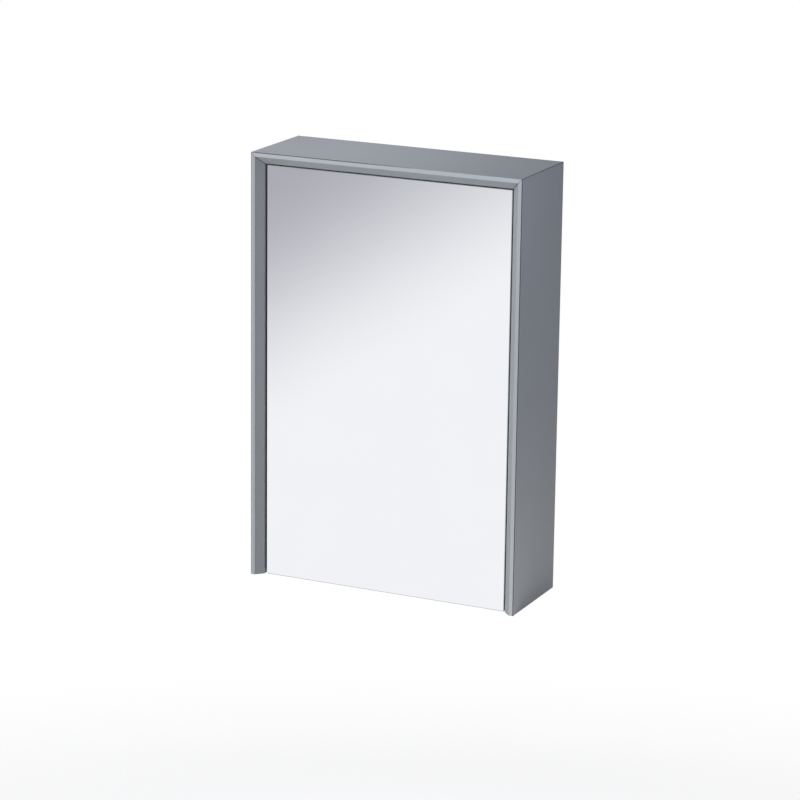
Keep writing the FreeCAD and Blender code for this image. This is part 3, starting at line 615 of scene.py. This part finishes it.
class Former(Graph):
    """A geometry tree that stands one form on each point it is given, turned to the point's axis."""

    def __init__(self, name, sizes):
        super().__init__(bpy.data.node_groups.new(name, "GeometryNodeTree"))
        self.add_socket("Seats", "INPUT", "NodeSocketGeometry")
        for size in sizes:
            self.add_socket(size, "INPUT", "NodeSocketFloat")
        self.add_socket("Finish", "INPUT", "NodeSocketMaterial")
        self.add_socket("Forms", "OUTPUT", "NodeSocketGeometry")
        self.entry = self.node("NodeGroupInput")

    def add_socket(self, name, way, kind):
        self.tree.interface.new_socket(name=name, in_out=way, socket_type=kind)

    def size(self, name):
        """One of the tree's inputs."""
        return self.entry.out(name)

    def pick(self, row, values):
        """One value for each row of points."""
        inputs = {0: row, **{place + 1: value for place, value in enumerate(values)}}
        return self.node("GeometryNodeIndexSwitch", {"data_type": "FLOAT", "items": len(values)}, inputs)

    def sheet(self, rows, sides):
        """A net of points with the row and the turn about Z of each."""
        columns = sides + 1
        net = self.node("GeometryNodeMeshGrid", None, {"Vertices X": rows, "Vertices Y": columns})
        index = self.node("GeometryNodeInputIndex")
        row = (index / columns).floor()
        return net, row, (index - row * columns) * (2 * math.pi / sides)

    def wrapped(self, net, turn, radius, height):
        """The net wound about Z, its seam and ends closed."""
        place = self.joined(radius * turn.cosine(), radius * turn.sine(), height)
        wound = self.node("GeometryNodeSetPosition", None, {"Geometry": net, "Position": place})
        return self.node("GeometryNodeMergeByDistance", None, {"Geometry": wound, "Distance": WELD})

    def turned(self, profile, sides=32, flute=None):
        """A form turned through pairs of radius and height, its radius changed by the turn if asked."""
        net, row, turn = self.sheet(len(profile), sides)
        radius = self.pick(row, [pair[0] for pair in profile])
        height = self.pick(row, [pair[1] for pair in profile])
        if flute:
            radius = radius * flute(turn)
        return self.wrapped(net, turn, radius, height)

    def threaded(self, core, crest, foot, length, pitch, rows=72, sides=20):
        """A screw thread that winds up from its foot, its end rows drawn in to the axis to close it."""
        net, row, turn = self.sheet(rows, sides)
        height = row * length / (rows - 1)
        wave = (height / pitch - turn / (2 * math.pi)).swing(0.5) * 2
        inside = (row > 0.5) * (row < rows - 1.5)
        return self.wrapped(net, turn, (core + (crest - core) * wave) * inside, height + foot)

    def cut(self, form, cutters):
        """A form with others taken out of it."""
        meshes = {"Mesh 1": form, "Mesh 2": cutters}
        return self.node("GeometryNodeMeshBoolean", {"operation": "DIFFERENCE"}, meshes)

    def crossed(self, form, reach, width, depth):
        """A form with a cross-shaped driver recess let into its top."""
        wings = []
        for across, along in ((reach, width), (width, reach)):
            size = self.joined(across, along, depth * 2)
            wings.append(self.node("GeometryNodeMeshCube", None, {"Size": size}))
        return self.cut(form, wings)

    def stand(self, forms):
        """Copy the forms to every seat and end the tree."""
        form = self.node("GeometryNodeJoinGeometry", None, {"Geometry": forms})
        axis = self.node("GeometryNodeInputNamedAttribute", {"data_type": "FLOAT_VECTOR"}, {"Name": "axis"})
        turn = self.node("FunctionNodeAlignRotationToVector", {"axis": "Z"}, {"Vector": axis})
        seats = {"Points": self.entry, "Instance": form, "Rotation": turn}
        copies = self.node("GeometryNodeInstanceOnPoints", None, seats)
        solid = self.node("GeometryNodeRealizeInstances", None, {"Geometry": copies})
        painted = {"Geometry": solid, "Material": self.size("Finish")}
        self.node("NodeGroupOutput", None, {"Forms": self.node("GeometryNodeSetMaterial", None, painted)})
        return self.tree


def screw(name, head):
    """A cross-recess screw, measured down from the top of its head."""
    former = Former(name, ["Head Radius", "Head Height", "Shank Radius", "Length", "Pitch"])
    radius = former.size("Head Radius")
    height = former.size("Head Height")
    shank = former.size("Shank Radius")
    length = former.size("Length")
    cap = former.turned(head(radius, height, shank))
    cap = former.crossed(cap, reach=1.1 * radius, width=0.26 * radius, depth=0.62 * height)
    thread = former.threaded(core=0.74 * shank, crest=shank, foot=-length, length=length - 0.9 * height,
                             pitch=former.size("Pitch"))
    return former.stand([cap, thread])


def pan_head(radius, height, shank):
    """A low dome with a square rim."""
    dome = [(0, 0), (0.5, 0), (0.78, -0.1), (0.94, -0.32), (1, -0.62), (1, -1), (0, -1)]
    return [(radius * across, height * up) for across, up in dome]


def sunk_head(radius, height, shank):
    """A flat top over a cone that runs into the shank."""
    return [(0, 0), (0.97 * radius, 0), (radius, -0.06 * height), (radius, -0.14 * height),
            (shank, -height), (0, -height)]


def grub_screw():
    """A headless screw, threaded all along."""
    former = Former("grub_screw", ["Head Radius", "Length", "Pitch"])
    radius = former.size("Head Radius")
    length = former.size("Length")
    thread = former.threaded(core=0.86 * radius, crest=radius, foot=-length, length=length,
                             pitch=former.size("Pitch"), rows=32)
    thread = former.crossed(thread, reach=1.1 * radius, width=0.3 * radius, depth=0.5 * length)
    return former.stand([thread])


def fluted_dowel():
    """A wooden dowel with chamfered ends and shallow flutes."""
    former = Former("fluted_dowel", ["Head Radius", "Length"])
    radius = former.size("Head Radius")
    length = former.size("Length")
    chamfer = 0.2 * radius
    profile = [(0, 0), (radius - chamfer, 0), (radius, -chamfer), (radius, chamfer - length),
               (radius - chamfer, -length), (0, -length)]
    flutes = 18
    depth = 0.03

    def flute(turn):
        return (1 - depth) + depth * (turn * flutes).cosine()

    return former.stand([former.turned(profile, sides=6 * flutes, flute=flute)])


def shelf_pin():
    """A pin with a chamfered shank and a stout round head, dished at its end."""
    former = Former("shelf_pin", ["Head Radius", "Length", "Shank Radius", "Reach"])
    radius = former.size("Head Radius")
    length = former.size("Length")
    shank = former.size("Shank Radius")
    reach = former.size("Reach")
    rounding = 0.16 * radius
    chamfer = 0.8 * MM
    profile = [(0, -0.5 * rounding), (0.35 * radius, -0.5 * rounding), (0.45 * radius, 0),
               (radius - rounding, 0), (radius - 0.3 * rounding, -0.3 * rounding), (radius, -rounding),
               (radius, -reach), (shank, -reach), (shank, chamfer - length),
               (0.7 * shank, -length), (0, -length)]
    return former.stand([former.turned(profile)])


def shelf_pad():
    """A soft sleeve with rounded lips and two shallow grip grooves."""
    former = Former("shelf_pad", ["Head Radius", "Length", "Bore Radius"])
    radius = former.size("Head Radius")
    length = former.size("Length")
    bore = former.size("Bore Radius")
    lip = 0.3 * MM
    groove = 0.2 * MM
    profile = [(bore, 0), (bore + lip, 0), (radius - lip, 0), (radius, -lip)]
    for share in (0.33, 0.66):
        middle = -share * length
        profile += [(radius, middle + groove), (radius - groove, middle), (radius, middle - groove)]
    profile += [(radius, lip - length), (radius - lip, -length), (bore, -length), (bore, 0)]
    return former.stand([former.turned(profile)])


def cam_lock():
    """A cast disc with a driver cross below and a mouth in its side for the bolt's head."""
    former = Former("cam_lock", ["Head Radius", "Length", "Mouth Radius", "Mouth Depth"])
    radius = former.size("Head Radius")
    length = former.size("Length")
    rim = 0.06 * radius
    profile = [(0, 0), (radius - 3 * rim, 0), (radius - 2 * rim, 0.3 * rim), (radius - rim, 0),
               (radius, -rim), (radius, rim - length), (radius - rim, -length), (0, -length)]
    disc = former.turned(profile, sides=48)
    disc = former.crossed(disc, reach=0.9 * radius, width=0.2 * radius, depth=0.25 * length)
    bore = former.node("GeometryNodeMeshCylinder", None, {
        "Vertices": 24, "Radius": former.size("Mouth Radius"), "Depth": radius})
    mouth = former.node("GeometryNodeTransform", None, {
        "Geometry": bore, "Rotation": (0, math.pi / 2, 0),
        "Translation": former.joined(0.6 * radius, 0, -former.size("Mouth Depth"))})
    return former.stand([former.cut(disc, [mouth])])


def cam_bolt():
    """A threaded bolt with a collar and a necked head for the cam to pull on."""
    former = Former("cam_bolt", ["Head Radius", "Length", "Thread Radius", "Thread Length", "Pitch"])
    radius = former.size("Head Radius")
    length = former.size("Length")
    thread = former.size("Thread Length")
    crest = former.size("Thread Radius")
    collar = 1.2 * MM
    neck = 2.2 * MM
    shoulder = thread - length
    profile = [(0, 0), (0.75 * radius, 0), (radius, -0.3 * radius), (radius, -neck),
               (0.6 * radius, -1.2 * neck), (0.6 * radius, -2.2 * neck), (0.75 * radius, -2.4 * neck),
               (0.75 * radius, shoulder + 1.4 * collar), (radius, shoulder + collar),
               (radius, shoulder), (0, shoulder)]
    winding = former.threaded(core=0.72 * crest, crest=crest, foot=-length, length=thread,
                              pitch=former.size("Pitch"))
    return former.stand([former.turned(profile), winding])


def bumper():
    """A soft dome on a thin flange."""
    former = Former("bumper", ["Head Radius", "Length"])
    radius = former.size("Head Radius")
    length = former.size("Length")
    flange = 0.16 * length
    profile = [(0, 0), (0.3 * radius, -0.02 * length), (0.52 * radius, -0.1 * length),
               (0.68 * radius, -0.24 * length), (0.77 * radius, -0.45 * length),
               (0.82 * radius, flange - length), (0.97 * radius, flange - length),
               (radius, 0.6 * flange - length), (radius, -length), (0, -length)]
    return former.stand([former.turned(profile)])


def towards(x, y, z):
    """The same way for every copy."""
    return lambda middle: Vector((x, y, z))


def inward(middle):
    """From the side panels towards the cabinet's middle."""
    return Vector((-math.copysign(1, middle.x), 0, 0))


def outward(middle):
    """From the cabinet's middle towards the side panels."""
    return -inward(middle)


def grow(name, tree, seats, axes, sizes):
    """Run a geometry tree on the seats and keep what it makes as a plain mesh."""
    points = bpy.data.meshes.new(f"{name}_seats")
    points.from_pydata(seats, [], [])
    attribute = points.attributes.new("axis", "FLOAT_VECTOR", "POINT")
    attribute.data.foreach_set("vector", [part for axis in axes for part in axis])
    holder = bpy.data.objects.new(f"{name}_holder", points)
    bpy.context.scene.collection.objects.link(holder)
    modifier = holder.modifiers.new("forms", "NODES")
    modifier.node_group = tree
    for socket in tree.interface.items_tree:
        if socket.in_out == "INPUT" and socket.name in sizes:
            modifier[socket.identifier] = sizes[socket.name]
    seen = holder.evaluated_get(bpy.context.evaluated_depsgraph_get())
    mesh = bpy.data.meshes.new_from_object(seen)
    holder.modifiers.remove(modifier)
    bpy.data.objects.remove(holder)
    shape = welded(mesh)
    bmesh.ops.recalc_face_normals(shape, faces=shape.faces)
    shape.to_mesh(mesh)
    shape.free()
    mesh.name = f"{name}_forms"
    return mesh


def stand_on_solids(node, slot, tree, facing, sizes):
    """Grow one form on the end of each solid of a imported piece, as long and as wide as the solid."""
    boxes = solids(node)
    seats = []
    axes = []
    for low, high in boxes:
        middle = (low + high) / 2
        axis = facing(middle)
        half = (high - low) / 2
        seats.append(middle + Vector(way * reach for way, reach in zip(axis, half)))
        axes.append(axis)
    span = boxes[0][1] - boxes[0][0]
    length = sum(abs(way) * reach for way, reach in zip(axes[0], span))
    across = max(reach * (1 - abs(way)) for way, reach in zip(axes[0], span))
    sizes = {"Head Radius": across / 2, "Length": length, **sizes}
    mesh = grow(node, tree, seats, axes, {**sizes, "Finish": FINISHES[slot]})
    add_piece(f"{node}_made", mesh, node)


def make_fasteners():
    """The screws, dowels and cam fittings that hold the box, the pivots and the hangers."""
    pan_screw = screw("pan_head_screw", pan_head)
    sunk_screw = screw("sunk_head_screw", sunk_head)
    stand_on_solids("pivot_bracket_screws", "screw_steel", pan_screw, towards(1, 0, 0), {
        "Head Height": 2.2 * MM, "Shank Radius": 1.9 * MM, "Pitch": 1.4 * MM})
    stand_on_solids("hanger_fixing_screws", "screw_steel", pan_screw, inward, {
        "Head Height": 3.0 * MM, "Shank Radius": 2.0 * MM, "Pitch": 1.5 * MM})
    stand_on_solids("back_panel_screws", "screw_steel", sunk_screw, towards(0, 1, 0), {
        "Head Height": 1.8 * MM, "Shank Radius": 1.75 * MM, "Pitch": 1.4 * MM})
    stand_on_solids("strike_screw", "screw_steel", sunk_screw, towards(0, 1, 0), {
        "Head Height": 1.4 * MM, "Shank Radius": 1.5 * MM, "Pitch": 1.2 * MM})
    stand_on_solids("hanger_adjust_screws", "screw_steel", grub_screw(), towards(0, -1, 0), {
        "Pitch": 1.0 * MM})
    stand_on_solids("bottom_dowels", "beech", fluted_dowel(), outward, {})
    stand_on_solids("cam_locks", "cast_zinc", cam_lock(), towards(0, 0, -1), {
        "Mouth Radius": 3.05 * MM, "Mouth Depth": 8.0 * MM})
    stand_on_solids("cam_bolts", "screw_steel", cam_bolt(), inward, {
        "Thread Radius": 2.5 * MM, "Thread Length": 11 * MM, "Pitch": 1.4 * MM})


def make_rests():
    """The small turned pieces that carry the shelves and meet the door."""
    stand_on_solids("shelf_pins", "screw_steel", shelf_pin(), inward, {
        "Shank Radius": 2.5 * MM, "Reach": 9.0 * MM})
    stand_on_solids("shelf_pads", "silicone", shelf_pad(), inward, {"Bore Radius": 3.2 * MM})
    stand_on_solids("door_bumpers", "silicone", bumper(), towards(0, -1, 0), {})


# The finish and the rounding of each stamped, turned or moulded piece
ROUNDED = {
    "pivot_bracket_upper": ("zinc_steel", 0.4 * MM),
    "pivot_bracket_lower": ("zinc_steel", 0.4 * MM),
    "pivot_pins": ("pin_steel", 0.4 * MM),
    "pivot_bushes": ("bush_brass", 0.12 * MM),
    "wall_rail": ("zinc_steel", 0.3 * MM),
    "hanger_hook_left": ("zinc_steel", 0.4 * MM),
    "hanger_hook_right": ("zinc_steel", 0.4 * MM),
    "hanger_housing_left": ("nylon", 0.3 * MM),
    "hanger_housing_right": ("nylon", 0.3 * MM),
    "strike_plate": ("zinc_steel", 0.3 * MM),
    "catch_magnet": ("magnet", 0.3 * MM),
    "catch_sleeve": ("nylon", 0.2 * MM),
}


def round_edges():
    """Put each of those pieces in the scene with its edges rounded."""
    for node, (slot, radius) in ROUNDED.items():
        soften(node, slot, radius)


# Studio

def from_angles(azimuth, elevation):
    """The way out from the cabinet to a place in front of it."""
    level = math.cos(elevation)
    return Vector((math.sin(azimuth) * level, -math.cos(azimuth) * level, math.sin(elevation)))


def add_camera():
    """The camera, where the photograph was taken from."""
    camera = bpy.data.cameras.new("photo_view")
    camera.lens = LENS
    holder = bpy.data.objects.new("photo_view", camera)
    bpy.context.scene.collection.objects.link(holder)
    back = from_angles(VIEW_AZIMUTH, VIEW_ELEVATION)
    turn = (-back).to_track_quat("-Z", "Y").to_matrix().to_4x4()
    turn = turn @ Matrix.Rotation(VIEW_ROLL, 4, "Z")
    holder.matrix_world = Matrix.Translation(VIEW_AIM + back * VIEW_DISTANCE) @ turn
    bpy.context.scene.camera = holder


def add_softbox(name, power, size, tint, place, aim=MIDDLE, spread=math.pi, mirrored=True):
    """A square soft lamp that faces its aim, with a grid over it where its spread is narrow."""
    lamp = bpy.data.lights.new(name, "AREA")
    lamp.energy = power
    lamp.size = size
    lamp.color = tint
    lamp.spread = spread
    holder = bpy.data.objects.new(name, lamp)
    bpy.context.scene.collection.objects.link(holder)
    holder.location = place
    holder.rotation_euler = (aim - holder.location).to_track_quat("-Z", "Y").to_euler()
    holder.visible_camera = False
    holder.visible_glossy = mirrored


def add_lamps():
    """All the lamps of the studio."""
    for name, settings in LAMPS.items():
        add_softbox(name, **settings)


def seen_rays(graph):
    """1 for rays from the camera, reflections and glass, which show the white around the cabinet."""
    path = graph.node("ShaderNodeLightPath")
    return path.most(path.out("Is Glossy Ray")).most(path.out("Is Transmission Ray"))


def light_world():
    """White where it is seen, and a soft even light on the cabinet."""
    world = bpy.data.worlds.new("studio")
    bpy.context.scene.world = world
    world.use_nodes = True
    graph = Graph(world.node_tree)
    graph.tree.nodes.clear()
    colour = graph.mix(seen_rays(graph), AMBIENT, WHITE)
    sky = graph.node("ShaderNodeBackground", None, {"Color": colour})
    graph.node("ShaderNodeOutputWorld", None, {"Surface": sky})


def flat_sheet(name, corners, material, hidden=()):
    """A single flat face of the studio, hidden from the kinds of rays that are named."""
    mesh = bpy.data.meshes.new(name)
    mesh.from_pydata(corners, [], [tuple(range(len(corners)))])
    mesh.materials.append(material)
    sheet = bpy.data.objects.new(name, mesh)
    bpy.context.scene.collection.objects.link(sheet)
    for rays in hidden:
        setattr(sheet, f"visible_{rays}", False)


def floor_paint():
    """Pale and lit near the cabinet, so that it keeps a shadow, and white further out."""
    finish = Finish("studio_floor")
    seen = seen_rays(finish)
    spot = finish.joined(finish.x, finish.y, 0)
    distance = finish.node("ShaderNodeVectorMath", {"operation": "LENGTH"}, {0: spot}).out("Value")
    lit = finish.node("ShaderNodeBsdfDiffuse", None, {"Color": FLOOR_TONE})
    lift = finish.light(finish.mix(seen, BLACK, FLOOR_LIFT))
    near = finish.node("ShaderNodeAddShader", None, {0: lit, 1: lift})
    paint = finish.blend(distance.rise(*FLOOR_FADE) * seen, near, finish.light(WHITE))
    underside = finish.node("ShaderNodeNewGeometry").out("Backfacing")
    return finish.end(finish.blend(underside, paint, finish.node("ShaderNodeBsdfTransparent")))


def card_paint():
    """A white card that falls off to grey at its upper left and right, and to dark at its far left."""
    finish = Finish("studio_card")
    across, down = GRADE_SLOPE
    drop = (GRADE_HEIGHT - finish.z) * down
    from_left = (finish.x - GRADE_LEFT) * across + drop
    from_right = (GRADE_RIGHT - finish.x) * across + drop
    right_shade = (1 - from_right.rise(0, GRADE_WIDTH)) * (1 - finish.x.rise(*RIGHT_SHADE_END))
    far_right_shade = finish.x.rise(*FAR_RIGHT_START) * finish.z.rise(*FAR_RIGHT_CLIMB)
    level = from_left.rise(0, GRADE_WIDTH)
    level = level * (1 - RIGHT_SHADE * right_shade) * (1 - FAR_RIGHT_SHADE * far_right_shade)
    level = level.most(finish.z.rise(*CARD_FOOT))
    far_left = finish.mix(finish.z.rise(*FAR_LEFT_FALL), CARD_DARK, CARD_GREY)
    grey = finish.mix(finish.x.rise(*FAR_LEFT_START), CARD_GREY, far_left)
    return finish.end(finish.light(finish.mix(level, grey, WHITE)))


def back_card_paint():
    """A card that is white on its left and near the floor, and grey elsewhere."""
    finish = Finish("studio_back_card")
    level = finish.x.rise(*BACK_CARD_LEFT).most(finish.z.rise(*CARD_FOOT))
    return finish.end(finish.light(finish.mix(level, BACK_CARD_GREY, WHITE)))


def stand_card(name, place, paint):
    """An upright card that only shows in gloss and lights nothing."""
    corners = [(-CARD_HALF, place, FLOOR_LEVEL), (CARD_HALF, place, FLOOR_LEVEL),
               (CARD_HALF, place, CARD_TOP), (-CARD_HALF, place, CARD_TOP)]
    flat_sheet(name, corners, paint, hidden=("camera", "diffuse", "shadow", "transmission"))


def hang_flag():
    """A small dark flag that keeps the low fill light off the foot of the right side."""
    finish = Finish("studio_flag")
    paint = finish.end(finish.node("ShaderNodeBsdfDiffuse", None, {"Color": FLAG_TONE}))
    near = HALF_WIDTH + FLAG_GAP
    far = near + FLAG_WIDTH
    level = BOTTOM - FLAG_GAP
    corners = [(near, FRONT, level), (far, FRONT, level), (far, 0, level), (near, 0, level)]
    flat_sheet("studio_flag", corners, paint, hidden=("camera", "glossy", "transmission"))


def add_studio():
    """The floor, the cards and the flag."""
    ways = ((-1, -1), (1, -1), (1, 1), (-1, 1))
    corners = [(x * FLOOR_HALF, y * FLOOR_HALF, FLOOR_LEVEL) for x, y in ways]
    flat_sheet("studio_floor", corners, floor_paint())
    stand_card("studio_card", CARD_PLACE, card_paint())
    stand_card("studio_back_card", BACK_CARD_PLACE, back_card_paint())
    hang_flag()


dress_kept_nodes()
make_fasteners()
make_rests()
round_edges()
add_studio()
light_world()
add_lamps()
add_camera()
bpy.context.scene.view_settings.view_transform = "Standard"
